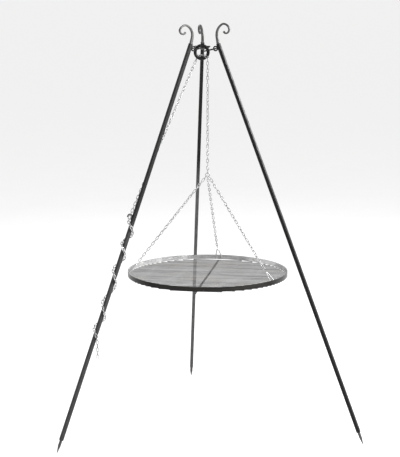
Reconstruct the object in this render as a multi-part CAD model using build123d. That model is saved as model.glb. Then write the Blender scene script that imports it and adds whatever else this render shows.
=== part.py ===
from build123d import *
from math import atan2, cos, degrees, hypot, pi, radians, sin
import os

# Campfire tripod with a swinging grate. Millimetres, +Z up. The origin lies on the ground,
# below the axis where the three legs meet. The rear leg stands towards +Y.

# Tripod
TOTAL_HEIGHT = 1800
FOOT_RADIUS = 762
EYE_HEIGHT = 1688
LEG_RADIUS_AT_EYE = 76.8
LEG_AZIMUTHS = {"left": 210, "right": 330, "rear": 90}
LEAN = atan2(FOOT_RADIUS - LEG_RADIUS_AT_EYE, EYE_HEIGHT)
TUBE_SIDE = 15
TUBE_WALL = 1.5
TUBE_CORNER = 1.5
TUBE_START = 56
TUBE_END = 1843

# Foot spike, a round bar forged to a point and turned down where it enters the tube
SPIKE_RADIUS = 6.2
SPIKE_INSERT_RADIUS = 5.9
SPIKE_CONE = 31
SPIKE_TIP_RADIUS = 1.5
SPIKE_INSERT = 45

# Eye welded to the inner face of each leg
EYE_RADIUS = 9
EYE_WIRE = 3
WELD_GAP = 0.05

# Scroll that carries each leg on above its eye
SCROLL_WIDTH = 12
SCROLL_KNOB_RADIUS = 4.8
SCROLL_HEIGHTS = {"left": 1794, "right": 1800, "rear": 1788}
SCROLL_REACH = {"left": 1.14, "right": 1.02, "rear": 1.0}
SCROLL_TWISTS = {"left": 0, "right": 0, "rear": 10}

# Hub ring and the oval links that tie it to the eyes
RING_CENTRE = Vector(-9, 7, 1671)
RING_RADIUS = 28.5
RING_WIRE = 7
OVAL_LENGTH = 66
OVAL_WIDTH = 30
OVAL_WIRE = 2.6
OVAL_RING_ANGLES = {"left": 135, "right": 15, "rear": 42}
OVAL_ROLLS = {"left": 16, "right": 0, "rear": 22}

# Chain: 3 mm wire, 16 mm inner length, 12 mm wide; neighbours stand a little slack
CHAIN_WIRE = 1.5
CHAIN_END_RADIUS = 4.5
CHAIN_HALF_STRAIGHT = 5.0
CHAIN_HALF_LENGTH = CHAIN_END_RADIUS + CHAIN_HALF_STRAIGHT
CHAIN_PITCH = 15.8
CHAIN_WOUND_PITCH = 15.2
CHAIN_OVERHANG = CHAIN_HALF_LENGTH - CHAIN_PITCH / 2
TOUCH = 0.1

# Lifting chain
HANG_X = 16
HANG_Y = -8
CHAIN_TOP = 1646
MAIN_LINKS = 32
TAIL_LINKS = 5

# Links lying over the hub ring's wire, from front to back: middle, long axis, direction they face
HUB_CHAIN_LINKS = [
    ((11.1, -5.0, 1651.0), (-0.756, 0.259, 0.601), (-0.155, 0.821, -0.549)),
    ((-0.4, 1.8, 1657.5), (-0.716, 0.693, 0.08), (-0.528, -0.463, -0.712)),
    ((-12.0, 12.1, 1656.8), (-0.723, 0.671, -0.163), (-0.415, -0.234, 0.879)),
    ((-23.3, 20.4, 1651.0), (-0.695, 0.417, -0.586), (0.392, 0.903, 0.177)),
]
RING_EXIT = Vector(-28, 24, 1646)
RING_EXIT_FACING = Vector(-0.875, 0.389, 0.287)

# Hook on the left leg, an inverted U of round wire
HOOK_WIRE = 2.5
HOOK_RADIUS = 9
HOOK_CREST = 1064
HOOK_LEG = 14
HOOK_TURN = -40
HOOK_SIDEPLAY = 0.6

# Chain wound round the left leg: distances along the leg where it passes the front
WIND_RADIUS = 17
WIND_FRONT_ANGLE = 55
WIND_CROSSINGS = [1012, 910, 789, 634, 530]
# Link that leads from the hooked link to the leg, in the leg's frame: middle, long axis, direction it faces
TURNING_LINK = ((14.8, -11.1, 1037.7), (0.505, 0.694, -0.514), (0.708, -0.673, -0.213))

# Ring that carries the three grate chains
SLING_RING_RADIUS = 9
SLING_RING_WIRE = 2
SLING_LINKS = 31
SLING_RING_ANGLES = {"left": 225, "rear": 270, "right": 315}

# Grate
GRATE_RADIUS = 356
RIM_THICKNESS = 4
RIM_HEIGHT = 20
RIM_TOP = 705
ROD_RADIUS = 2
ROD_PITCH = 22.4
ROD_TURN = -13.5
CROSS_BAR_RADIUS = 4
BAIL_AZIMUTHS = {"left": 178, "rear": 76.5, "right": -42}
BAIL_TOP = 750
BAIL_WIRE = 2.5
BAIL_HALF_SPREAD = 13
BAIL_BEND = 5

# Values that follow from the ones above
RIM_BOTTOM = RIM_TOP - RIM_HEIGHT
ROD_HEIGHT = RIM_BOTTOM - ROD_RADIUS - WELD_GAP
MAIN_BOTTOM = CHAIN_TOP - MAIN_LINKS * CHAIN_PITCH
LAST_WIRE = MAIN_BOTTOM - (CHAIN_HALF_LENGTH - CHAIN_PITCH / 2)
SLING_RING_CENTRE = Vector(
    HANG_X,
    HANG_Y,
    MAIN_BOTTOM + CHAIN_PITCH / 2 - CHAIN_HALF_LENGTH + CHAIN_WIRE + SLING_RING_WIRE + TOUCH
    - SLING_RING_RADIUS,
)


def leg_location(azimuth):
    """Frame of a leg: X away from the leg's outer face, Y sideways, Z up along the leg from its tip."""
    plane = Plane(
        origin=(FOOT_RADIUS, 0, 0),
        x_dir=(cos(LEAN), 0, sin(LEAN)),
        z_dir=(-sin(LEAN), 0, cos(LEAN)),
    )
    return Rot(0, 0, azimuth) * plane.location


def in_frame(location, x, y, z):
    """A point given in a frame, in the part's own axes."""
    return (location * Location((x, y, z))).position


def direction(location, x, y, z):
    """A direction given in a frame, in the part's own axes."""
    return in_frame(location, x, y, z) - location.position


def polar(radius, azimuth, height):
    return Vector(radius * cos(radians(azimuth)), radius * sin(radians(azimuth)), height)


def square_to(axis, vector):
    """The part of a vector that is square to an axis, as a unit vector."""
    return (vector - axis * vector.dot(axis)).normalized()


# ---------------------------------------------------------------- wire loops and chain

def loop(half_straight, end_radius, wire):
    """A closed wire link in the XY plane, its long axis along X."""
    right = ThreePointArc((half_straight, end_radius), (half_straight + end_radius, 0), (half_straight, -end_radius))
    left = ThreePointArc(
        (-half_straight, -end_radius), (-half_straight - end_radius, 0), (-half_straight, end_radius)
    )
    top = Line((-half_straight, end_radius), (half_straight, end_radius))
    bottom = Line((half_straight, -end_radius), (-half_straight, -end_radius))
    section = Plane(origin=(0, end_radius, 0), z_dir=(1, 0, 0)) * Circle(wire)
    return sweep(section, path=Wire([top, right, bottom, left]))


CHAIN_LINK = loop(CHAIN_HALF_STRAIGHT, CHAIN_END_RADIUS, CHAIN_WIRE)


def placed(shape, centre, along, normal):
    """A loop moved so that its long axis lies along a direction and its plane faces the normal."""
    return Plane(origin=centre, x_dir=along, z_dir=normal).location * shape


def chain(joints, first_normal, last_normal=None):
    """Links between joints. Neighbours stand crosswise, with any twist spread along the run."""
    count = len(joints) - 1
    axes = [(joints[i + 1] - joints[i]).normalized() for i in range(count)]
    normals = [square_to(axes[0], first_normal)]
    for axis in axes[1:]:
        normals.append(square_to(axis, axis.cross(normals[-1])))
    twist = 0
    if last_normal is not None and count > 1:
        goal = square_to(axes[-1], last_normal)
        side = axes[-1].cross(normals[-1])
        twist = degrees(atan2(goal.dot(side), goal.dot(normals[-1])))
        twist = (twist + 90) % 180 - 90
    links = []
    for i in range(count):
        share = i / max(count - 1, 1)
        normal = normals[i].rotate(Axis((0, 0, 0), axes[i]), twist * share)
        links.append(placed(CHAIN_LINK, (joints[i] + joints[i + 1]) / 2, axes[i], normal))
    return links


def straight_joints(start, end, count):
    return [start + (end - start) * (i / count) for i in range(count + 1)]


def walk(curve, start, stop, step_length):
    """Points at equal chords along a curve of one parameter."""
    points = [curve(start)]
    steps = 4000
    for i in range(1, steps + 1):
        point = curve(start + (stop - start) * i / steps)
        if (point - points[-1]).length >= step_length:
            points.append(point)
    return points


# ---------------------------------------------------------------- legs

def leg_tube():
    outer = RectangleRounded(TUBE_SIDE, TUBE_SIDE, TUBE_CORNER)
    inner = Rectangle(TUBE_SIDE - 2 * TUBE_WALL, TUBE_SIDE - 2 * TUBE_WALL)
    tube = extrude(outer - inner, amount=TUBE_END - TUBE_START)
    return Pos(0, 0, TUBE_START) * tube


def foot_spike():
    """Round bar whose point is a small ball resting on the ground."""
    ball_centre = SPIKE_TIP_RADIUS / cos(LEAN)
    slope = atan2(SPIKE_RADIUS - SPIKE_TIP_RADIUS, SPIKE_CONE - ball_centre)
    edge_x = SPIKE_TIP_RADIUS * cos(slope)
    edge_z = ball_centre - SPIKE_TIP_RADIUS * sin(slope)
    middle = SPIKE_TIP_RADIUS * sin(pi / 4)
    end = TUBE_START + SPIKE_INSERT
    start = (0, ball_centre - SPIKE_TIP_RADIUS)
    tip = ThreePointArc(start, (middle, ball_centre - middle), (edge_x, edge_z))
    side = Polyline(
        (edge_x, edge_z),
        (SPIKE_RADIUS, SPIKE_CONE),
        (SPIKE_RADIUS, TUBE_START),
        (SPIKE_INSERT_RADIUS, TUBE_START),
        (SPIKE_INSERT_RADIUS, end),
        (0, end),
        start,
    )
    profile = Rot(90, 0, 0) * make_face([tip, side])
    return revolve(profile, Axis.Z)


def leg_eye():
    torus = Rot(90, 0, 0) * Torus(EYE_RADIUS, EYE_WIRE)
    return Pos(eye_offset(), 0, eye_distance()) * torus


def eye_offset():
    return -(TUBE_SIDE / 2 + EYE_RADIUS + EYE_WIRE + WELD_GAP)


def eye_distance():
    """Distance along the leg at which the eye's centre is at eye height."""
    return (EYE_HEIGHT - eye_offset() * sin(LEAN)) / cos(LEAN)


def scroll(side):
    """Tapered bar bent into a scroll, drawn as radius and height; the three differ a little."""
    base_radius = FOOT_RADIUS - TUBE_END * sin(LEAN)
    base_height = TUBE_END * cos(LEAN)
    rise = (SCROLL_HEIGHTS[side] - 5.3 - base_height) / (TOTAL_HEIGHT - 5.3 - base_height)
    points = [(62, 1742), (64, 1765), (75, 1784), (92, 1794.7), (110, 1789), (119, 1773)]
    points += [(114, 1758.5), (102, 1754.5), (93.5, 1762)]
    points = [
        (base_radius + (r - base_radius) * SCROLL_REACH[side], base_height + (z - base_height) * rise)
        for r, z in points
    ]
    middle_line = Spline(
        (base_radius, base_height), *points, tangents=[(-sin(LEAN), cos(LEAN)), (-0.45, 0.9)]
    )
    samples = 24
    outer = []
    inner = []
    for i in range(samples + 1):
        share = i / samples
        half = 3.8 + 2.0 * (1 - share) + 1.2 * (1 - share) ** 8
        at = middle_line.position_at(share)
        tangent = middle_line.tangent_at(share)
        normal = Vector(-tangent.Y, tangent.X)
        outer.append(at + normal * half)
        inner.append(at - normal * half)
    outline = [
        Spline(*outer),
        Line(outer[-1], inner[-1]),
        Spline(*reversed(inner)),
        Line(inner[0], outer[0]),
    ]
    knob_at = middle_line.position_at(1)
    flat = make_face(outline) + Pos(knob_at.X, knob_at.Y) * Circle(SCROLL_KNOB_RADIUS)
    bar = extrude(flat, amount=SCROLL_WIDTH / 2, both=True)
    edges = bar.edges().filter_by(Axis.Z, reverse=True).filter_by(lambda e: e.length > 3)
    bar = chamfer(edges.filter_by(lambda e: e.center().Y > base_height + 12), 1.2)
    return Rot(90, 0, 0) * bar


def leg_parts():
    parts = {}
    for side, azimuth in LEG_AZIMUTHS.items():
        frame = leg_location(azimuth)
        parts[f"{side}_leg_tube"] = frame * leg_tube()
        parts[f"{side}_foot_spike"] = frame * foot_spike()
        parts[f"{side}_leg_eye"] = frame * leg_eye()
        twist = frame * Rot(0, 0, SCROLL_TWISTS[side]) * frame.inverse()
        parts[f"{side}_leg_scroll"] = twist * (Rot(0, 0, azimuth) * scroll(side))
    return parts


# ---------------------------------------------------------------- hub

def ring_point(angle):
    angle = radians(angle)
    return RING_CENTRE + Vector(RING_RADIUS * cos(angle), 0, RING_RADIUS * sin(angle))


def eye_centre(side):
    return in_frame(leg_location(LEG_AZIMUTHS[side]), eye_offset(), 0, eye_distance())


def hub_link(side):
    """Oval link through a leg's eye and round the hub ring."""
    start = eye_centre(side)
    along = (ring_point(OVAL_RING_ANGLES[side]) - start).normalized()
    through_eye = polar(1, LEG_AZIMUTHS[side] + 90, 0)
    normal = along.cross(square_to(along, through_eye))
    normal = normal.rotate(Axis((0, 0, 0), along), OVAL_ROLLS[side])
    oval = loop(OVAL_LENGTH / 2 - OVAL_WIDTH / 2, OVAL_WIDTH / 2, OVAL_WIRE)
    return placed(oval, start + along * (OVAL_LENGTH / 2), along, normal)


def hub_parts():
    ring = Location(RING_CENTRE) * (Rot(90, 0, 0) * Torus(RING_RADIUS, RING_WIRE))
    parts = {"hub_ring": ring}
    for side in LEG_AZIMUTHS:
        parts[f"{side}_hub_link"] = hub_link(side)
    return parts


# ---------------------------------------------------------------- hook and lifting chain

def hook_frame():
    """Frame at the hook's root on the back face of the left leg: X towards the free end, Z up the leg."""
    root = (TUBE_SIDE / 2 - HOOK_WIRE, -(TUBE_SIDE / 2 + HOOK_WIRE + WELD_GAP), HOOK_CREST - HOOK_RADIUS)
    return leg_location(LEG_AZIMUTHS["left"]) * Location(root, (0, 0, HOOK_TURN))


def chain_hook():
    path = Curve() + [
        Line((0, 0, -HOOK_LEG), (0, 0, 0)),
        ThreePointArc((0, 0, 0), (HOOK_RADIUS, 0, HOOK_RADIUS), (2 * HOOK_RADIUS, 0, 0)),
        Line((2 * HOOK_RADIUS, 0, 0), (2 * HOOK_RADIUS, 0, -HOOK_LEG / 2)),
    ]
    section = Plane(origin=(0, 0, -HOOK_LEG), z_dir=(0, 0, 1)) * Circle(HOOK_WIRE)
    return hook_frame() * sweep(section, path=path.wire())


def wound_curve(start, start_level):
    """Path of the wound chain round the left leg, leaving from where the hooked chain hangs."""
    left = leg_location(LEG_AZIMUTHS["left"])
    local = (left.inverse() * Location(start)).position
    levels = [start_level] + WIND_CROSSINGS + [WIND_CROSSINGS[-1] - 26]
    angles = [degrees(atan2(local.Y, local.X))]
    angles += [WIND_FRONT_ANGLE + 360 * i for i in range(len(WIND_CROSSINGS))]
    angles.append(angles[-1] + 70)
    start_radius = hypot(local.X, local.Y)

    def curve(level):
        i = 0
        while i < len(levels) - 2 and level < levels[i + 1]:
            i += 1
        share = (levels[i] - level) / (levels[i] - levels[i + 1])
        angle = radians(angles[i] + share * (angles[i + 1] - angles[i]))
        slack = (start_radius - WIND_RADIUS) * max(0, 1 - (levels[0] - level) / 40)
        radius = WIND_RADIUS + slack
        return in_frame(left, radius * cos(angle), radius * sin(angle), level)

    return walk(curve, start_level, levels[-1], CHAIN_WOUND_PITCH)


def chain_parts():
    hook = hook_frame()
    hooked_end = HOOK_RADIUS - HOOK_WIRE - 3 * CHAIN_WIRE - 3 * TOUCH
    hooked_joint = in_frame(hook, HOOK_RADIUS, HOOK_SIDEPLAY, hooked_end + CHAIN_OVERHANG)
    run = hooked_joint - RING_EXIT
    joints = straight_joints(RING_EXIT, hooked_joint, round(run.length / CHAIN_PITCH))
    parts = {
        "hub_chain": [placed(CHAIN_LINK, *link) for link in HUB_CHAIN_LINKS],
        "leg_chain": chain(joints, RING_EXIT_FACING, direction(hook, 1, 0, 0)),
    }

    level = HOOK_CREST - HOOK_RADIUS + hooked_end + CHAIN_OVERHANG - CHAIN_PITCH
    top = in_frame(hook, HOOK_RADIUS, 0, hooked_end + CHAIN_OVERHANG)
    second = in_frame(hook, HOOK_RADIUS, 0, hooked_end + CHAIN_OVERHANG - CHAIN_PITCH)
    turns = wound_curve(second, level)
    tail = [turns[-1] - Vector(0, 0, CHAIN_PITCH * i) for i in range(1, TAIL_LINKS + 1)]
    links = chain([top] + turns + tail, direction(hook, 0, 1, 0))
    links[1] = leg_location(LEG_AZIMUTHS["left"]) * placed(CHAIN_LINK, *TURNING_LINK)
    parts["wound_chain"] = links[:-TAIL_LINKS]
    parts["chain_tail"] = links[-TAIL_LINKS:]

    hang = [Vector(HANG_X, HANG_Y, CHAIN_TOP - CHAIN_PITCH * i) for i in range(MAIN_LINKS + 1)]
    links = chain(hang, Vector(1, 0, 0), Vector(1, 0, 0))
    parts["chain_top_link"] = links[:1]
    parts["main_chain"] = links[1:-1]
    parts["chain_end_link"] = links[-1:]
    return parts


# ---------------------------------------------------------------- grate

def grate_chain(side, apex):
    """Grate chain from the sling ring to a bail's apex."""
    angle = radians(SLING_RING_ANGLES[side])
    start = SLING_RING_CENTRE + Vector(SLING_RING_RADIUS * cos(angle), 0, SLING_RING_RADIUS * sin(angle))
    along = (apex - start).normalized()
    first = start - along * (SLING_RING_WIRE + CHAIN_WIRE + TOUCH - CHAIN_OVERHANG)
    last = apex + along * (BAIL_WIRE + CHAIN_WIRE + TOUCH - CHAIN_OVERHANG)
    azimuth = radians(BAIL_AZIMUTHS[side])
    joints = straight_joints(first, last, SLING_LINKS)
    return chain(joints, Vector(-sin(angle), 0, cos(angle)), Vector(-sin(azimuth), cos(azimuth), 0))


def bail_apex(side):
    """Where the straight line from the sling ring to the rim's inner face is at the bail's height."""
    foot_radius = GRATE_RADIUS - RIM_THICKNESS - BAIL_WIRE - WELD_GAP
    drop = SLING_RING_CENTRE.Z - SLING_RING_RADIUS - (RIM_TOP - RIM_HEIGHT / 2)
    share = (SLING_RING_CENTRE.Z - SLING_RING_RADIUS - BAIL_TOP) / drop
    return Vector(HANG_X, HANG_Y, 0) + polar(foot_radius * share, BAIL_AZIMUTHS[side], BAIL_TOP)


def bail(side):
    """Bent wire like a steep roof, welded by both feet to the rim's inner face."""
    foot_radius = GRATE_RADIUS - RIM_THICKNESS - BAIL_WIRE - WELD_GAP
    half_angle = degrees(BAIL_HALF_SPREAD / foot_radius)
    centre = Vector(HANG_X, HANG_Y, 0)
    feet = [
        centre + polar(foot_radius, BAIL_AZIMUTHS[side] + turn, RIM_BOTTOM + 4)
        for turn in (-half_angle, half_angle)
    ]
    knees = [
        centre + polar(foot_radius, BAIL_AZIMUTHS[side] + turn, RIM_TOP - 4)
        for turn in (-half_angle, half_angle)
    ]
    apex = bail_apex(side)
    rise = (apex - (knees[0] + knees[1]) / 2).normalized()
    peak = apex + rise * BAIL_BEND * 0.9
    path = FilletPolyline(feet[0], knees[0], peak, knees[1], feet[1], radius=BAIL_BEND)
    section = Plane(origin=feet[0], z_dir=(0, 0, 1)) * Circle(BAIL_WIRE)
    return sweep(section, path=path)


def grate_rim():
    ring = Circle(GRATE_RADIUS) - Circle(GRATE_RADIUS - RIM_THICKNESS)
    return Pos(HANG_X, HANG_Y, RIM_BOTTOM) * extrude(ring, amount=RIM_HEIGHT)


def grate_rods():
    """Round rods side by side, welded under the rim."""
    rods = []
    reach = GRATE_RADIUS - RIM_THICKNESS / 2
    count = int(reach / ROD_PITCH)
    for i in range(-count, count + 1):
        offset = i * ROD_PITCH
        length = 2 * (reach**2 - offset**2) ** 0.5
        rods.append(Pos(0, offset, 0) * (Rot(0, 90, 0) * Cylinder(ROD_RADIUS, length)))
    frame = Location((HANG_X, HANG_Y, ROD_HEIGHT), (0, 0, ROD_TURN))
    return [frame * rod for rod in rods]


def cross_bar():
    bar = Rot(90, 0, 0) * Cylinder(CROSS_BAR_RADIUS, 2 * (GRATE_RADIUS - RIM_THICKNESS))
    height = ROD_HEIGHT - ROD_RADIUS - CROSS_BAR_RADIUS - WELD_GAP
    return Location((HANG_X, HANG_Y, height), (0, 0, ROD_TURN)) * bar


def grate_parts():
    ring = Location(SLING_RING_CENTRE) * (Rot(90, 0, 0) * Torus(SLING_RING_RADIUS, SLING_RING_WIRE))
    parts = {"sling_ring": ring}
    for side in BAIL_AZIMUTHS:
        parts[f"{side}_bail"] = bail(side)
        parts[f"{side}_grate_chain"] = grate_chain(side, bail_apex(side))
    parts["grate_rim"] = grate_rim()
    parts["grate_rods"] = grate_rods()
    parts["grate_cross_bar"] = cross_bar()
    return parts


def main():
    os.makedirs("parts", exist_ok=True)
    parts = {**leg_parts(), **hub_parts(), "chain_hook": chain_hook(), **chain_parts(), **grate_parts()}
    for name, shape in parts.items():
        solids = shape if isinstance(shape, list) else [shape]
        solids = [solid for item in solids for solid in item.solids()]
        export_step(Compound(children=solids) if len(solids) > 1 else solids[0], f"parts/{name}.step")


main()
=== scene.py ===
import math

import bmesh
import bpy
import numpy as np
from mathutils import Matrix, Vector, noise


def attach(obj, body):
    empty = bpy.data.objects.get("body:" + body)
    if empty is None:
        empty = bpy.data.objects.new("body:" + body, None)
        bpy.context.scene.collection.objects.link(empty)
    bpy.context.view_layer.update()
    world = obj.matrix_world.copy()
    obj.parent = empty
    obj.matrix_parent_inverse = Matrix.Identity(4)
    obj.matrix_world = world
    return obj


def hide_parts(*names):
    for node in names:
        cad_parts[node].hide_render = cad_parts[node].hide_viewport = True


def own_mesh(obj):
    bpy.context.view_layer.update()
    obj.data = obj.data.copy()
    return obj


# Campfire tripod with a hanging grate. Metres, +Z up, the rear leg towards +Y.

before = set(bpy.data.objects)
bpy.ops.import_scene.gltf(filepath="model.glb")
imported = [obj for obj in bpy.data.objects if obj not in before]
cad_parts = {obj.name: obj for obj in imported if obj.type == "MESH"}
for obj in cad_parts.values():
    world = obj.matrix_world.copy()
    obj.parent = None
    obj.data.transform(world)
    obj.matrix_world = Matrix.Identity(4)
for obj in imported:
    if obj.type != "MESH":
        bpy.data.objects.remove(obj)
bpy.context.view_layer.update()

# Sizes in millimetres, the same as the CAD's
MM = 0.001
LEG_AZIMUTHS = {"left": 210, "right": 330, "rear": 90}
FOOT_RADIUS = 762
EYE_HEIGHT = 1688
LEG_RADIUS_AT_EYE = 76.8
LEAN = math.atan2(FOOT_RADIUS - LEG_RADIUS_AT_EYE, EYE_HEIGHT)
TUBE_START = 56
TUBE_END = 1843
TUBE_HALF = 7.5
EYE_RADIUS = 9
EYE_WIRE = 3
WELD_GAP = 0.05
HOOK_ROOT = (5.0, -10.05, 1055)
SCROLL_LINE = [(62, 1742), (64, 1765), (75, 1784), (92, 1794.7), (110, 1789), (119, 1773), (114, 1758.5)]
SCROLL_LINE += [(102, 1754.5), (93.5, 1762)]
SCROLL_TOPS = {"left": 1794, "right": 1800, "rear": 1788}
SCROLL_REACH = {"left": 1.14, "right": 1.02, "rear": 1.0}
SCROLL_TWISTS = {"left": 0, "right": 0, "rear": 10}
TOTAL_HEIGHT = 1800
SCROLL_HALF_TOP = 5.3
HANG = Vector((16, -8, 0))
HUB_RING = {"centre": (-9, 7, 1671), "radius": 28.5, "wire": 7}
SLING_RING = {"centre": (16, -8, 1133.4), "radius": 9, "wire": 2}
RIM_BOTTOM = 685
RIM_RADIUS = 356
RIM_THICKNESS = 4
ROD_TURN = math.radians(-13.5)
ROD_PITCH = 22.4
BAIL_AZIMUTHS = (178, 76.5, -42)
BAIL_HALF_SPREAD = 13
BAIL_FOOT_RADIUS = 349.45
RIM_SEAM_AZIMUTH = 100


# ------------------------------------------------------------ materials

def new_material(name):
    material = bpy.data.materials.new(name)
    material.use_nodes = True
    nodes = material.node_tree.nodes
    shader = nodes["Principled BSDF"]
    coordinates = nodes.new("ShaderNodeTexCoord")
    return material, nodes, material.node_tree.links, shader, coordinates.outputs["Object"]


def noise_map(nodes, links, where, scale, detail=5.0, roughness=0.6, stretch=None, turn=0):
    """A noise pattern over the surface, finer along some axes and turned about Z if asked."""
    if stretch:
        mapping = nodes.new("ShaderNodeMapping")
        mapping.vector_type = "TEXTURE"
        mapping.inputs["Scale"].default_value = [1 / s for s in stretch]
        mapping.inputs["Rotation"].default_value = (0, 0, turn)
        links.new(where, mapping.inputs["Vector"])
        where = mapping.outputs["Vector"]
    texture = nodes.new("ShaderNodeTexNoise")
    texture.inputs["Scale"].default_value = scale
    texture.inputs["Detail"].default_value = detail
    texture.inputs["Roughness"].default_value = roughness
    links.new(where, texture.inputs["Vector"])
    return texture.outputs["Fac"]


def ramp(nodes, links, value, stops):
    """Colours along a value, from (position, colour) pairs."""
    node = nodes.new("ShaderNodeValToRGB")
    elements = node.color_ramp.elements
    while len(elements) < len(stops):
        elements.new(0.5)
    for element, (position, colour) in zip(elements, stops):
        element.position = position
        element.color = (*colour, 1) if len(colour) == 3 else colour
    links.new(value, node.inputs["Fac"])
    return node.outputs["Color"]


def mix(nodes, links, share, first, second):
    node = nodes.new("ShaderNodeMix")
    node.data_type = "RGBA"
    links.new(share, node.inputs["Factor"])
    links.new(first, node.inputs["A"])
    links.new(second, node.inputs["B"])
    return node.outputs["Result"]


def grey(value):
    return (value, value, value)


def bump(nodes, links, shader, heights, distance):
    node = nodes.new("ShaderNodeBump")
    node.inputs["Strength"].default_value = 0.6
    node.inputs["Distance"].default_value = distance
    links.new(heights, node.inputs["Height"])
    links.new(node.outputs["Normal"], shader.inputs["Normal"])


def height_share(nodes, links, where, low, high):
    """0 below a height and 1 above another."""
    parts = nodes.new("ShaderNodeSeparateXYZ")
    links.new(where, parts.inputs["Vector"])
    limits = nodes.new("ShaderNodeMapRange")
    limits.interpolation_type = "SMOOTHSTEP"
    limits.inputs["From Min"].default_value = low
    limits.inputs["From Max"].default_value = high
    links.new(parts.outputs["Z"], limits.inputs["Value"])
    return limits.outputs["Result"]


def coated_steel(name, dark, light, low_dark=None, low_light=None, low=0.9, high=1.05, rough=(0.3, 0.5)):
    """Black lacquered steel with faint cloudiness and fine scratches; paler below a set height if asked.
    """
    material, nodes, links, shader, where = new_material(name)
    clouds = noise_map(nodes, links, where, 38)
    grain = noise_map(nodes, links, where, 420, detail=3)
    scratches = noise_map(nodes, links, where, 60, detail=8, roughness=0.8, stretch=(9, 9, 0.7))
    colour = ramp(nodes, links, clouds, [(0.3, grey(dark)), (0.7, grey(light))])
    if low_dark is not None:
        below = ramp(nodes, links, clouds, [(0.3, grey(low_dark)), (0.7, grey(low_light))])
        colour = mix(nodes, links, height_share(nodes, links, where, low, high), below, colour)
    worn = ramp(nodes, links, scratches, [(0.68, grey(0)), (0.76, grey(0.18))])
    bare = ramp(nodes, links, grain, [(0.0, grey(0.11)), (1.0, (0.17, 0.165, 0.16))])
    colour = mix(nodes, links, worn, colour, bare)
    links.new(colour, shader.inputs["Base Color"])
    links.new(
        ramp(nodes, links, clouds, [(0.3, grey(rough[0])), (0.7, grey(rough[1]))]),
        shader.inputs["Roughness"],
    )
    shader.inputs["Metallic"].default_value = 0.0
    shader.inputs["Specular IOR Level"].default_value = 0.16
    bump(nodes, links, shader, grain, 0.00006)
    return material


def forged_steel(name):
    """Black forged bar with shallow hammer marks, glossier in patches."""
    material, nodes, links, shader, where = new_material(name)
    marks = nodes.new("ShaderNodeTexVoronoi")
    marks.feature = "SMOOTH_F1"
    marks.inputs["Scale"].default_value = 160
    links.new(where, marks.inputs["Vector"])
    clouds = noise_map(nodes, links, where, 90)
    links.new(
        ramp(nodes, links, clouds, [(0.3, grey(0.02)), (0.7, (0.075, 0.072, 0.069))]),
        shader.inputs["Base Color"],
    )
    links.new(
        ramp(nodes, links, clouds, [(0.3, grey(0.26)), (0.7, grey(0.46))]), shader.inputs["Roughness"]
    )
    shader.inputs["Metallic"].default_value = 0.0
    shader.inputs["Specular IOR Level"].default_value = 0.45
    bump(nodes, links, shader, marks.outputs["Distance"], 0.0007)
    return material


def zinc(name, dark=0.2, light=0.48):
    """Zinc-plated wire: bright, faintly spangled, duller in patches."""
    material, nodes, links, shader, where = new_material(name)
    patches = noise_map(nodes, links, where, 55)
    fine = noise_map(nodes, links, where, 900, detail=2)
    stops = [(0.3, (dark, dark, dark * 1.03)), (0.65, (light, light, light * 1.02))]
    colour = ramp(nodes, links, patches, stops)
    links.new(colour, shader.inputs["Base Color"])
    links.new(
        ramp(nodes, links, patches, [(0.3, grey(0.42)), (0.7, grey(0.24))]), shader.inputs["Roughness"]
    )
    shader.inputs["Metallic"].default_value = 0.9
    bump(nodes, links, shader, fine, 0.00004)
    return material


def bare_steel(name, dark, light, tint, rough, stretch=None, turn=0):
    """Bare steel with drawing lines and patches of heat tint."""
    material, nodes, links, shader, where = new_material(name)
    lines = noise_map(nodes, links, where, 45, detail=8, roughness=0.75, stretch=stretch, turn=turn)
    heat = noise_map(nodes, links, where, 7, detail=3)
    colour = ramp(nodes, links, lines, [(0.25, grey(dark)), (0.75, grey(light))])
    warm = ramp(nodes, links, lines, [(0.25, tuple(c * 0.8 for c in tint)), (0.75, tint)])
    share = ramp(nodes, links, heat, [(0.52, grey(0)), (0.75, grey(0.55))])
    links.new(mix(nodes, links, share, colour, warm), shader.inputs["Base Color"])
    links.new(
        ramp(nodes, links, lines, [(0.25, grey(rough[1])), (0.75, grey(rough[0]))]),
        shader.inputs["Roughness"],
    )
    shader.inputs["Metallic"].default_value = 0.92
    bump(nodes, links, shader, lines, 0.00005)
    return material


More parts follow.
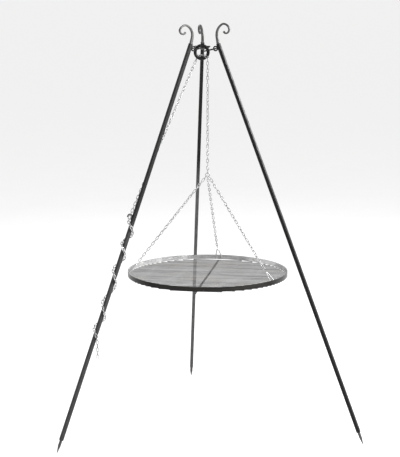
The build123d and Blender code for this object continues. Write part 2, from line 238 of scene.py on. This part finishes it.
def rim_steel_painted_light(name):
    """Flat bar bent round: a painted highlight on its inside face, bright with duller patches, and a
    painted dark reflection, near black, on its outside face.
    """
    material, nodes, links, shader, where = new_material(name)
    lines = noise_map(nodes, links, where, 45, detail=8, roughness=0.75, stretch=(0.3, 0.3, 14))
    patches = noise_map(nodes, links, where, 6, detail=4)
    # Colours of the inside face, bright with duller patches, are a painted highlight; the near-black
    # colours of the outside face are a painted dark reflection.
    bright = ramp(nodes, links, lines, [(0.25, grey(0.45)), (0.75, grey(0.8))])
    worn = ramp(nodes, links, lines, [(0.25, grey(0.2)), (0.75, grey(0.4))])
    painted_lit_inside = mix(nodes, links, ramp(nodes, links, patches, [(0.4, grey(0)), (0.62, grey(1))]), bright, worn)
    painted_dark_outside = ramp(nodes, links, lines, [(0.25, grey(0.008)), (0.75, (0.036, 0.034, 0.032))])
    # Share of the painted dark reflection against the painted highlight, rising across the bar's thickness
    # from the inside face to the outside face.
    radial = nodes.new("ShaderNodeVectorMath")
    radial.operation = "MULTIPLY_ADD"
    radial.inputs[1].default_value = (1, 1, 0)
    radial.inputs[2].default_value = (-HANG.x * MM, -HANG.y * MM, 0)
    links.new(where, radial.inputs[0])
    length = nodes.new("ShaderNodeVectorMath")
    length.operation = "LENGTH"
    links.new(radial.outputs["Vector"], length.inputs[0])
    share = nodes.new("ShaderNodeMapRange")
    share.inputs["From Min"].default_value = (RIM_RADIUS - 3.7) * MM
    share.inputs["From Max"].default_value = (RIM_RADIUS - 0.3) * MM
    links.new(length.outputs["Value"], share.inputs["Value"])
    links.new(mix(nodes, links, share.outputs["Result"], painted_lit_inside, painted_dark_outside), shader.inputs["Base Color"])
    links.new(
        ramp(nodes, links, lines, [(0.25, grey(0.4)), (0.75, grey(0.26))]), shader.inputs["Roughness"]
    )
    shader.inputs["Metallic"].default_value = 0.9
    bump(nodes, links, shader, lines, 0.00005)
    return material


def weld_metal(name, dark, light):
    """Weld bead: ripples with soot and a little bare metal."""
    material, nodes, links, shader, where = new_material(name)
    spots = noise_map(nodes, links, where, 320, detail=4)
    colour = ramp(nodes, links, spots, [(0.35, grey(dark)), (0.7, grey(light))])
    links.new(colour, shader.inputs["Base Color"])
    roughness = ramp(nodes, links, spots, [(0.3, grey(0.6)), (0.7, grey(0.4))])
    links.new(roughness, shader.inputs["Roughness"])
    shader.inputs["Metallic"].default_value = 0.6
    bump(nodes, links, shader, spots, 0.0002)
    return material


# The left and rear legs are made paler below a set height; their lacquer is black all the way down.
LEG_COAT = {
    "left": coated_steel("left leg lacquer", 0.003, 0.008, 0.02, 0.034, low=0.90, high=1.02),
    "right": coated_steel("right leg lacquer", 0.003, 0.008),
    "rear": coated_steel("rear leg lacquer", 0.002, 0.005, 0.04, 0.07, low=1.02, high=1.18),
}
FORGED = forged_steel("forged scroll")
HUB_BLACK = coated_steel("hub ring lacquer", 0.003, 0.008, rough=(0.25, 0.4))
EYE_BLACK = coated_steel("eye lacquer", 0.004, 0.01, rough=(0.3, 0.45))
HOOK_BLACK = coated_steel("hook lacquer", 0.008, 0.02, rough=(0.3, 0.45))
SPIKE = bare_steel("worn spike", 0.05, 0.10, (0.09, 0.075, 0.06), (0.35, 0.55), stretch=(3, 3, 1))
ZINC = zinc("zinc-plated chain", 0.24, 0.5)
RODS = bare_steel(
    "grate rods", 0.03, 0.42, (0.31, 0.27, 0.22), (0.3, 0.5), stretch=(0.05, 0.9, 0.9), turn=ROD_TURN
)
RIM = rim_steel_painted_light("grate rim with painted light and shade")
BAR = bare_steel("cross bar", 0.05, 0.1, (0.08, 0.065, 0.05), (0.35, 0.5))
BAILS = bare_steel("bent wire bails", 0.3, 0.55, (0.4, 0.34, 0.26), (0.25, 0.4))
WELD_BLACK = weld_metal("black weld", 0.012, 0.05)
WELD_STEEL = weld_metal("bare weld", 0.09, 0.28)


# ------------------------------------------------------------ mesh helpers

def finish_mesh(name, bm, material, body, smooth=True):
    bmesh.ops.recalc_face_normals(bm, faces=bm.faces)
    mesh = bpy.data.meshes.new(name)
    bm.to_mesh(mesh)
    bm.free()
    for polygon in mesh.polygons:
        polygon.use_smooth = smooth
    mesh.materials.append(material)
    piece = bpy.data.objects.new(name, mesh)
    bpy.context.scene.collection.objects.link(piece)
    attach(piece, body)
    return piece


def sections(bm, rings, closed, caps=True):
    """Skins a list of equally long rings of points."""
    rows = [[bm.verts.new(point) for point in ring] for ring in rings]
    pairs = list(zip(rows, rows[1:]))
    if closed:
        pairs.append((rows[-1], rows[0]))
    for first, second in pairs:
        count = len(first)
        for i in range(count):
            j = (i + 1) % count
            bm.faces.new((first[i], first[j], second[j], second[i]))
    if caps and not closed:
        bm.faces.new(rows[0])
        bm.faces.new(rows[-1])


def tube(bm, path, radii, closed=False, sides=10, up=None):
    """Round wire along a path, with a radius for each point."""
    count = len(path)
    rings = []
    side = None
    for i, point in enumerate(path):
        after = path[(i + 1) % count] if closed or i < count - 1 else point
        before = path[i - 1] if closed or i > 0 else point
        along = (after - before).normalized()
        if side is None:
            side = (up or (Vector((0, 0, 1)) if abs(along.z) < 0.9 else Vector((1, 0, 0)))).copy()
        side = (side - along * side.dot(along)).normalized()
        other = along.cross(side)
        ring = []
        for k in range(sides):
            angle = 2 * math.pi * k / sides
            ring.append(point + (side * math.cos(angle) + other * math.sin(angle)) * radii[i])
        rings.append(ring)
    sections(bm, rings, closed)


def ripple(i, seed, size, amount=0.16):
    """Radius of a weld bead at its i-th point: a regular ripple with some unevenness."""
    uneven = noise.noise(Vector((i * 0.37, seed * 3.1, 0.5)))
    return size * (1 + amount * math.sin(i * 2.1) * 0.6 + amount * uneven * 1.4)


def bead(bm, path, size, closed=False, seed=0):
    """A weld bead along a path, tapering at its ends unless it is closed."""
    fine = []
    count = len(path) if closed else len(path) - 1
    for i in range(count):
        first, second = path[i], path[(i + 1) % len(path)]
        steps = max(1, round((second - first).length / (0.9 * MM)))
        fine += [first.lerp(second, k / steps) for k in range(steps)]
    if not closed:
        fine.append(path[-1])
    last = len(fine) - 1
    radii = []
    for i in range(len(fine)):
        radius = ripple(i, seed, size)
        if not closed:
            radius *= min(1, 0.45 + 0.3 * min(i, last - i))
        radii.append(radius)
    tube(bm, fine, radii, closed, sides=8)


def leg_matrix(side):
    """Frame of a leg: X outwards, Y sideways, Z up along the leg from its tip."""
    frame_x = Vector((math.cos(LEAN), 0, math.sin(LEAN)))
    frame_z = Vector((-math.sin(LEAN), 0, math.cos(LEAN)))
    matrix = Matrix((
        (frame_x.x, 0, frame_z.x, FOOT_RADIUS * MM),
        (0, 1, 0, 0),
        (frame_x.z, 0, frame_z.z, 0),
        (0, 0, 0, 1),
    ))
    return Matrix.Rotation(math.radians(LEG_AZIMUTHS[side]), 4, "Z") @ matrix


def mapped(matrix, points):
    return [matrix @ (Vector(point) * MM) for point in points]


# ------------------------------------------------------------ chain

LINK_STEPS = 9
LINK_END = 4.5
LINK_HALF = 5.0
LINK_WIRE = 1.5


def link_path():
    """Middle line of a link in its XY plane, and the wire's radius, fuller at the butt weld."""
    points = []
    radii = []
    for i in range(LINK_STEPS):
        share = i / LINK_STEPS
        x = -LINK_HALF + 2 * LINK_HALF * share
        points.append((x, LINK_END, 0))
        radii.append(LINK_WIRE * (1 + 0.05 * math.exp(-(x / 0.9) ** 2)))
    for i in range(LINK_STEPS):
        angle = math.pi / 2 - math.pi * i / LINK_STEPS
        points.append((LINK_HALF + LINK_END * math.cos(angle), LINK_END * math.sin(angle), 0))
        radii.append(LINK_WIRE * 0.99)
    for i in range(4):
        points.append((LINK_HALF - 2 * LINK_HALF * i / 4, -LINK_END, 0))
        radii.append(LINK_WIRE)
    for i in range(LINK_STEPS):
        angle = -math.pi / 2 - math.pi * i / LINK_STEPS
        points.append((-LINK_HALF + LINK_END * math.cos(angle), LINK_END * math.sin(angle), 0))
        radii.append(LINK_WIRE * 0.99)
    return points, radii


LINK_POINTS, LINK_RADII = link_path()


def add_link(bm, centre, along, facing, flip):
    """One link; flip puts its weld on the other side."""
    along = along.normalized()
    facing = (facing - along * facing.dot(along)).normalized()
    across = facing.cross(along) * (-1 if flip else 1)
    path = [centre + (along * x + across * y) * MM for x, y, _ in LINK_POINTS]
    tube(bm, path, [r * MM for r in LINK_RADII], closed=True, sides=10, up=facing)


def loose_parts(node):
    """Points of each separate solid of a CAD node."""
    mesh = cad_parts[node].data
    bm = bmesh.new()
    bm.from_mesh(mesh)
    bmesh.ops.remove_doubles(bm, verts=bm.verts, dist=1e-6)
    seen = set()
    parts = []
    for start in bm.verts:
        if start.index in seen:
            continue
        stack = [start]
        seen.add(start.index)
        points = []
        while stack:
            vertex = stack.pop()
            points.append(tuple(vertex.co))
            for edge in vertex.link_edges:
                other = edge.other_vert(vertex)
                if other.index not in seen:
                    seen.add(other.index)
                    stack.append(other)
        parts.append(np.array(points))
    bm.free()
    return parts


def fit_link(points):
    """Middle, long axis and facing of a link, from its points."""
    centre = (points.min(0) + points.max(0)) / 2
    values, vectors = np.linalg.eigh(np.cov((points - points.mean(0)).T))
    for _ in range(2):
        local = (points - centre) @ vectors
        centre = centre + vectors @ ((local.min(0) + local.max(0)) / 2)
    return Vector(centre), Vector(vectors[:, 2]), Vector(vectors[:, 0])


def chain_piece(name, node, body, material=None):
    bm = bmesh.new()
    for i, points in enumerate(loose_parts(node)):
        centre, along, facing = fit_link(points)
        add_link(bm, centre, along, facing, (i * 7) % 5 < 2)
    piece = finish_mesh(name, bm, material or ZINC, body)
    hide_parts(node)
    return piece


for node, body in {
    "leg_chain": "left_leg",
    "wound_chain": "left_leg",
    "chain_tail": "loose_tail",
    "hub_chain": "hub",
    "chain_top_link": "top_link",
    "chain_end_link": "end_link",
    "left_grate_chain": "grate",
    "right_grate_chain": "grate",
    "rear_grate_chain": "grate",
}.items():
    chain_piece(node + "_links", node, body)

hanging = chain_piece("hanging_chain_links", "main_chain", "hanging_chain")
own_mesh(hanging)


# ------------------------------------------------------------ forged scrolls

def scroll_line(side):
    """Middle line of a scroll as radius and height, from the tube's end."""
    radius, height = FOOT_RADIUS - TUBE_END * math.sin(LEAN), TUBE_END * math.cos(LEAN)
    rise = (SCROLL_TOPS[side] - SCROLL_HALF_TOP - height) / (TOTAL_HEIGHT - SCROLL_HALF_TOP - height)
    return [(radius, height)] + [
        (radius + (r - radius) * SCROLL_REACH[side], height + (z - height) * rise) for r, z in SCROLL_LINE
    ]


def curve_through(points, count):
    """Points along a smooth line through the given ones."""
    result = []
    padded = [points[0]] + points + [points[-1]]
    lengths = [math.dist(a, b) for a, b in zip(points, points[1:])]
    for k, length in enumerate(lengths):
        p0, p1, p2, p3 = (np.array(padded[k + m], float) for m in range(4))
        steps = max(2, round(count * length / sum(lengths)))
        for i in range(steps):
            t = i / steps
            result.append(
                0.5 * (2 * p1 + (p2 - p0) * t + (2 * p0 - 5 * p1 + 4 * p2 - p3) * t**2
                       + (3 * p1 - p0 - 3 * p2 + p3) * t**3)
            )
    result.append(np.array(points[-1], float))
    return result


def scroll(side):
    """Bar drawn out and rolled: square at the tube, rounder and thinner towards its rolled end."""
    line = curve_through(scroll_line(side), 90)
    count = len(line)
    turn = Matrix.Rotation(math.radians(LEG_AZIMUTHS[side]), 4, "Z")
    twist = Matrix.Rotation(math.radians(SCROLL_TWISTS[side]), 4, "Z")
    turn = leg_matrix(side) @ twist @ leg_matrix(side).inverted() @ turn
    bm = bmesh.new()
    rings = []
    for i, point in enumerate(line):
        after, before = line[min(i + 1, count - 1)], line[max(i - 1, 0)]
        tangent = (after - before) / np.linalg.norm(after - before)
        normal = np.array((-tangent[1], tangent[0]))
        share = i / (count - 1)
        thick = 3.7 + 2.0 * (1 - share) + 1.2 * (1 - share) ** 8
        thick += 1.0 * max(0, share - 0.93) / 0.07
        wide = 6.0 - 0.5 * share
        power = 0.32 + 0.45 * min(1, share * 2.2)
        ring = []
        for k in range(20):
            angle = 2 * math.pi * (k + 0.5) / 20
            c, s = math.cos(angle), math.sin(angle)
            a = math.copysign(abs(c) ** power, c) * thick
            b = math.copysign(abs(s) ** power, s) * wide
            dent = 1 - 0.035 * (1 + noise.noise(Vector((i * 0.16, k * 0.9, LEG_AZIMUTHS[side]))))
            r, z = point + normal * a * dent
            ring.append(turn @ (Vector((r, b * dent, z)) * MM))
        rings.append(ring)
    sections(bm, rings, closed=False)
    piece = finish_mesh(f"{side}_forged_scroll", bm, FORGED, f"{side}_leg")
    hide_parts(f"{side}_leg_scroll")


for side in LEG_AZIMUTHS:
    scroll(side)


# ------------------------------------------------------------ weld beads

def rounded_square(half, corner, level, steps=4):
    points = []
    for quarter in range(4):
        for i in range(steps + 1):
            angle = math.pi / 2 * (quarter + i / steps)
            sign_x = 1 if quarter in (0, 3) else -1
            sign_y = 1 if quarter in (0, 1) else -1
            points.append((
                sign_x * (half - corner) + corner * math.cos(angle),
                sign_y * (half - corner) + corner * math.sin(angle),
                level,
            ))
    return points


def circle(radius, level, steps=24):
    return [
        (radius * math.cos(2 * math.pi * i / steps), radius * math.sin(2 * math.pi * i / steps), level)
        for i in range(steps)
    ]


def leg_welds(side):
    frame_matrix = leg_matrix(side)
    eye_offset = TUBE_HALF + EYE_RADIUS + EYE_WIRE + WELD_GAP
    eye = (EYE_HEIGHT + eye_offset * math.sin(LEAN)) / math.cos(LEAN)
    bm = bmesh.new()
    bead(bm, mapped(frame_matrix, rounded_square(7.4, 1.6, TUBE_END)), 1.15 * MM, True, 1)
    bead(bm, mapped(frame_matrix, circle(6.9, TUBE_START - 0.2)), 1.0 * MM, True, 2)
    for sign in (-1, 1):
        line = [(-8.2, sign * 2.5, eye - 5 + i * 2.0) for i in range(6)]
        bead(bm, mapped(frame_matrix, line), 1.3 * MM, False, 3 + sign)
    if side == "left":
        root = frame_matrix @ Matrix.Translation(Vector(HOOK_ROOT) * MM)
        for x in (-2.3, 1.8):
            line = [(x, 1.9, -14 + i * 2.2) for i in range(6)]
            bead(bm, mapped(root, line), 1.1 * MM, False, 9)
    finish_mesh(f"{side}_leg_welds", bm, WELD_BLACK, f"{side}_leg")


for side in LEG_AZIMUTHS:
    leg_welds(side)


def grate_point(x, y, z):
    c, s = math.cos(ROD_TURN), math.sin(ROD_TURN)
    return (HANG + Vector((x * c - y * s, x * s + y * c, z))) * MM


def grate_welds():
    bm = bmesh.new()
    count = int((RIM_RADIUS - RIM_THICKNESS / 2) / ROD_PITCH)
    seed = 0
    for i in range(-count, count + 1):
        offset = i * ROD_PITCH
        half = math.sqrt((RIM_RADIUS - 4.6) ** 2 - offset**2)
        for sign in (-1, 1):
            seed += 1
            line = [
                grate_point(
                    sign * (half - 0.7 + 0.3 * abs(k)), offset + 1.3 * k, RIM_BOTTOM - 0.4 - 0.35 * k * k
                )
                for k in (-2, -1, 0, 1, 2)
            ]
            bead(bm, line, 0.95 * MM, False, seed)
        if abs(offset) < RIM_RADIUS - 12:
            for sign in (-1, 1):
                line = [
                    grate_point(sign * 2.9, offset - 1.8 + 0.9 * k, RIM_BOTTOM - 5.1 + 0.2 * (k - 2) ** 2)
                    for k in range(5)
                ]
                bead(bm, line, 0.85 * MM, False, seed + 50)
    for azimuth in BAIL_AZIMUTHS:
        spread = math.degrees(BAIL_HALF_SPREAD / BAIL_FOOT_RADIUS)
        for turn in (-spread, spread):
            angle = math.radians(azimuth + turn)
            for sign in (-1, 1):
                line = []
                for k in range(7):
                    radius = RIM_RADIUS - 4.9
                    tangent = sign * 2.3
                    x = radius * math.cos(angle) - tangent * math.sin(angle)
                    y = radius * math.sin(angle) + tangent * math.cos(angle)
                    line.append((HANG + Vector((x, y, RIM_BOTTOM + 4 + 2 * k))) * MM)
                bead(bm, line, 1.15 * MM, False, seed + k)
    for radius in (RIM_RADIUS - 0.35, RIM_RADIUS - RIM_THICKNESS + 0.35):
        angle = math.radians(RIM_SEAM_AZIMUTH)
        x, y = radius * math.cos(angle), radius * math.sin(angle)
        line = [(HANG + Vector((x, y, RIM_BOTTOM + 1 + 1.8 * k))) * MM for k in range(11)]
        bead(bm, line, 0.9 * MM, False, 77)
    finish_mesh("grate_welds", bm, WELD_STEEL, "grate")


grate_welds()


def ring_seam(name, ring, angle, body, material):
    """Low collar of weld where a bent ring's ends meet."""
    bm = bmesh.new()
    out = Vector((math.cos(angle), 0, math.sin(angle)))
    middle = Vector(ring["centre"]) + out * ring["radius"]
    path = []
    for i in range(14):
        turn = 2 * math.pi * i / 14
        across = out * math.cos(turn) + Vector((0, 1, 0)) * math.sin(turn)
        path.append((middle + across * (ring["wire"] - 0.35)) * MM)
    bead(bm, path, 0.7 * MM, True, 5)
    finish_mesh(name, bm, material, body)


ring_seam("hub_ring_seam", HUB_RING, math.radians(100), "hub", WELD_BLACK)
ring_seam("sling_ring_seam", SLING_RING, math.radians(15), "grate", WELD_STEEL)


# ------------------------------------------------------------ finishes of the carried-over parts

FINISHES = {"hub_ring": HUB_BLACK, "chain_hook": HOOK_BLACK, "sling_ring": ZINC, "grate_rim": RIM}
FINISHES.update({"grate_rods": RODS, "grate_cross_bar": BAR})
for side in LEG_AZIMUTHS:
    FINISHES[f"{side}_leg_tube"] = LEG_COAT[side]
    FINISHES[f"{side}_leg_eye"] = EYE_BLACK
    FINISHES[f"{side}_foot_spike"] = SPIKE
    FINISHES[f"{side}_hub_link"] = EYE_BLACK
    FINISHES[f"{side}_bail"] = BAILS
for node, material in FINISHES.items():
    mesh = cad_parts[node].data
    mesh.materials.clear()
    mesh.materials.append(material)


# ------------------------------------------------------------ floor, light and camera

FLOOR_HALF = 200
VIEW_SIDE = math.radians(4.84)
VIEW_RISE = math.radians(10.2)
VIEW_DISTANCE = 6.5
VIEW_TARGET = Vector((0, 0, 0.892))
UPPER_LEGS = (-0.15, -0.1, 1.5)
MIDDLE = (0, 0, 0.9)
# Name, place, aim, size and power
LAMPS = [
    ("key", (3.4, -2.4, 3.2), MIDDLE, 1.6, 380),
    ("low strip", (4.0, -2.2, 1.25), UPPER_LEGS, 0.9, 45),
    ("rear strip", (3.9, 3.0, 2.6), (0.15, -0.1, 1.5), 1.2, 60),
    ("fill", (-3.6, -3.0, 2.2), MIDDLE, 3.0, 15),
    ("back", (-1.6, 3.6, 3.4), MIDDLE, 2.0, 60),
]


def stage():
    bm = bmesh.new()
    bmesh.ops.create_grid(bm, x_segments=2, y_segments=2, size=FLOOR_HALF)
    mesh = bpy.data.meshes.new("floor")
    bm.to_mesh(mesh)
    bm.free()
    material, nodes, links, shader, where = new_material("pale floor")
    tone = noise_map(nodes, links, where, 3)
    colour = ramp(nodes, links, tone, [(0.0, grey(0.5)), (1.0, grey(0.54))])
    links.new(colour, shader.inputs["Base Color"])
    shader.inputs["Roughness"].default_value = 0.9
    shader.inputs["Emission Color"].default_value = (1, 1, 1, 1)
    shader.inputs["Emission Strength"].default_value = 0.45
    mesh.materials.append(material)
    floor = bpy.data.objects.new("floor", mesh)
    bpy.context.scene.collection.objects.link(floor)


def area_light(name, place, aim, size, power):
    light = bpy.data.lights.new(name, "AREA")
    light.size = size
    light.energy = power
    lamp = bpy.data.objects.new(name, light)
    lamp.location = place
    lamp.rotation_euler = (Vector(aim) - Vector(place)).to_track_quat("-Z", "Y").to_euler()
    bpy.context.scene.collection.objects.link(lamp)


def lights():
    for lamp in LAMPS:
        area_light(*lamp)
    world = bpy.data.worlds.new("studio")
    world.use_nodes = True
    sky = world.node_tree.nodes["Background"]
    sky.inputs["Color"].default_value = (1, 1, 1, 1)
    sky.inputs["Strength"].default_value = 0.76
    bpy.context.scene.world = world


def camera():
    """The photograph's view: a long lens, slightly above and left of the front."""
    level = math.cos(VIEW_RISE)
    forward = Vector((math.sin(VIEW_SIDE) * level, math.cos(VIEW_SIDE) * level, -math.sin(VIEW_RISE)))
    data = bpy.data.cameras.new("photograph")
    data.sensor_fit = "VERTICAL"
    data.sensor_height = 24
    data.lens = 76.83
    data.shift_x = -0.0085
    data.clip_end = 400
    item = bpy.data.objects.new("photograph", data)
    item.location = VIEW_TARGET - forward * VIEW_DISTANCE
    item.rotation_euler = forward.to_track_quat("-Z", "Y").to_euler()
    bpy.context.scene.collection.objects.link(item)
    bpy.context.scene.camera = item


stage()
lights()
camera()
bpy.context.scene.view_settings.view_transform = "Standard"
